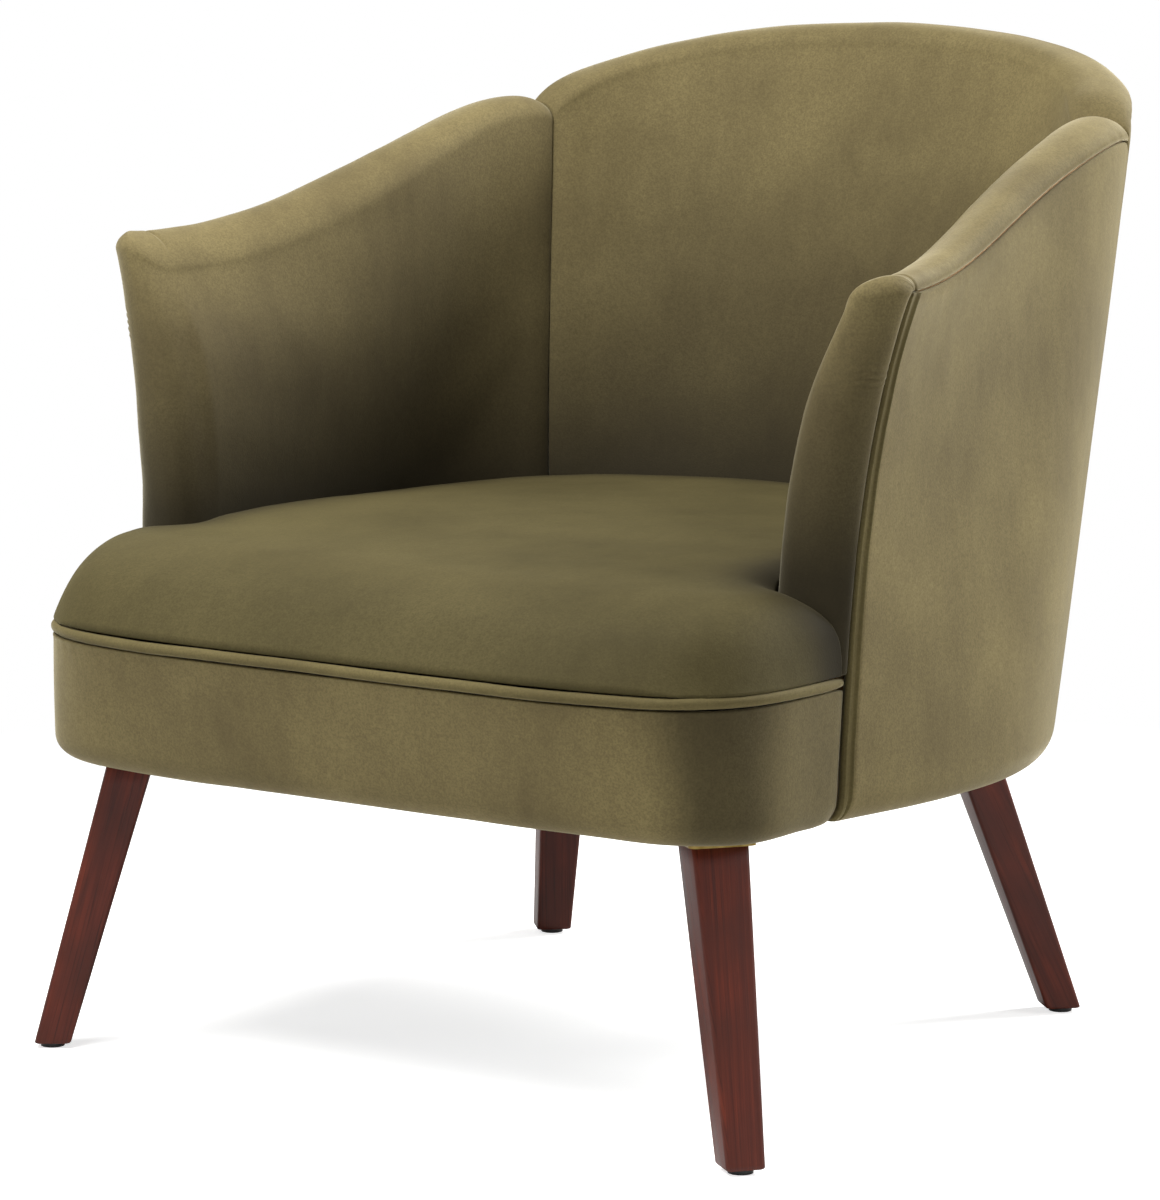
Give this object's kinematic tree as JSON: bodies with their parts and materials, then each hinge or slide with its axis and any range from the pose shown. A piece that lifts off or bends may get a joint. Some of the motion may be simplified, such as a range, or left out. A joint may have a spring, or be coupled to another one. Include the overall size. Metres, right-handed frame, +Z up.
{
  "type": "tub chair",
  "caption": "Upholstered tub chair with a flared wrap-round back and arms, a crowned tight seat with a cord, and splayed tapered wooden legs.",
  "frame": {"origin": "on the floor under the middle of the chair's bounding box", "axes": "+Z up, the chair faces -Y, +X is the sitter's left"},
  "size_m": [0.7486, 0.806, 0.8],
  "materials": {
    "velvet": "short-pile olive brown velvet",
    "velvet_cord": "olive brown velvet over cord",
    "beech": "raw sawn beech",
    "webbing": "woven elastic strap",
    "spring_steel": "oiled spring wire",
    "decking": "non-woven cloth",
    "dust_cloth": "black non-woven cloth",
    "stained_wood": "dark mahogany stain, satin lacquer",
    "zinc": "yellow zinc plate",
    "bolt_steel": "bright zinc plate",
    "glide": "black nylon"
  },
  "bodies": {
    "root": {"front_rail": "beech", "side_rail_left": "beech", "side_rail_right": "beech", "back_rail": "beech", "corner_blocks": "beech", "arm_post_left": "beech", "arm_post_right": "beech", "back_post_left": "beech", "back_post_right": "beech", "arm_rail_left": "beech", "arm_rail_right": "beech", "top_back_rail": "beech", "tack_rail_left": "beech", "tack_rail_right": "beech", "tack_rail_back": "beech", "back_webbing": "webbing", "seat_springs": "spring_steel", "spring_clips": "spring_steel", "seat_decking": "decking", "seat_pad": "velvet", "front_band": "velvet", "inside_back": "velvet", "inside_arm_left": "velvet", "inside_arm_right": "velvet", "outside_back": "velvet", "outside_arm_left": "velvet", "outside_arm_right": "velvet", "seat_cord": "velvet_cord", "arm_strip_left": "velvet_cord", "arm_strip_right": "velvet_cord", "dust_cover": "dust_cloth", "leg_front_left": "stained_wood", "leg_front_right": "stained_wood", "leg_back_left": "stained_wood", "leg_back_right": "stained_wood", "leg_plates": "zinc", "plate_screws": "zinc", "hanger_bolts": "bolt_steel", "tee_nuts": "bolt_steel", "foot_glides": "glide"}
  },
  "joints": []
}
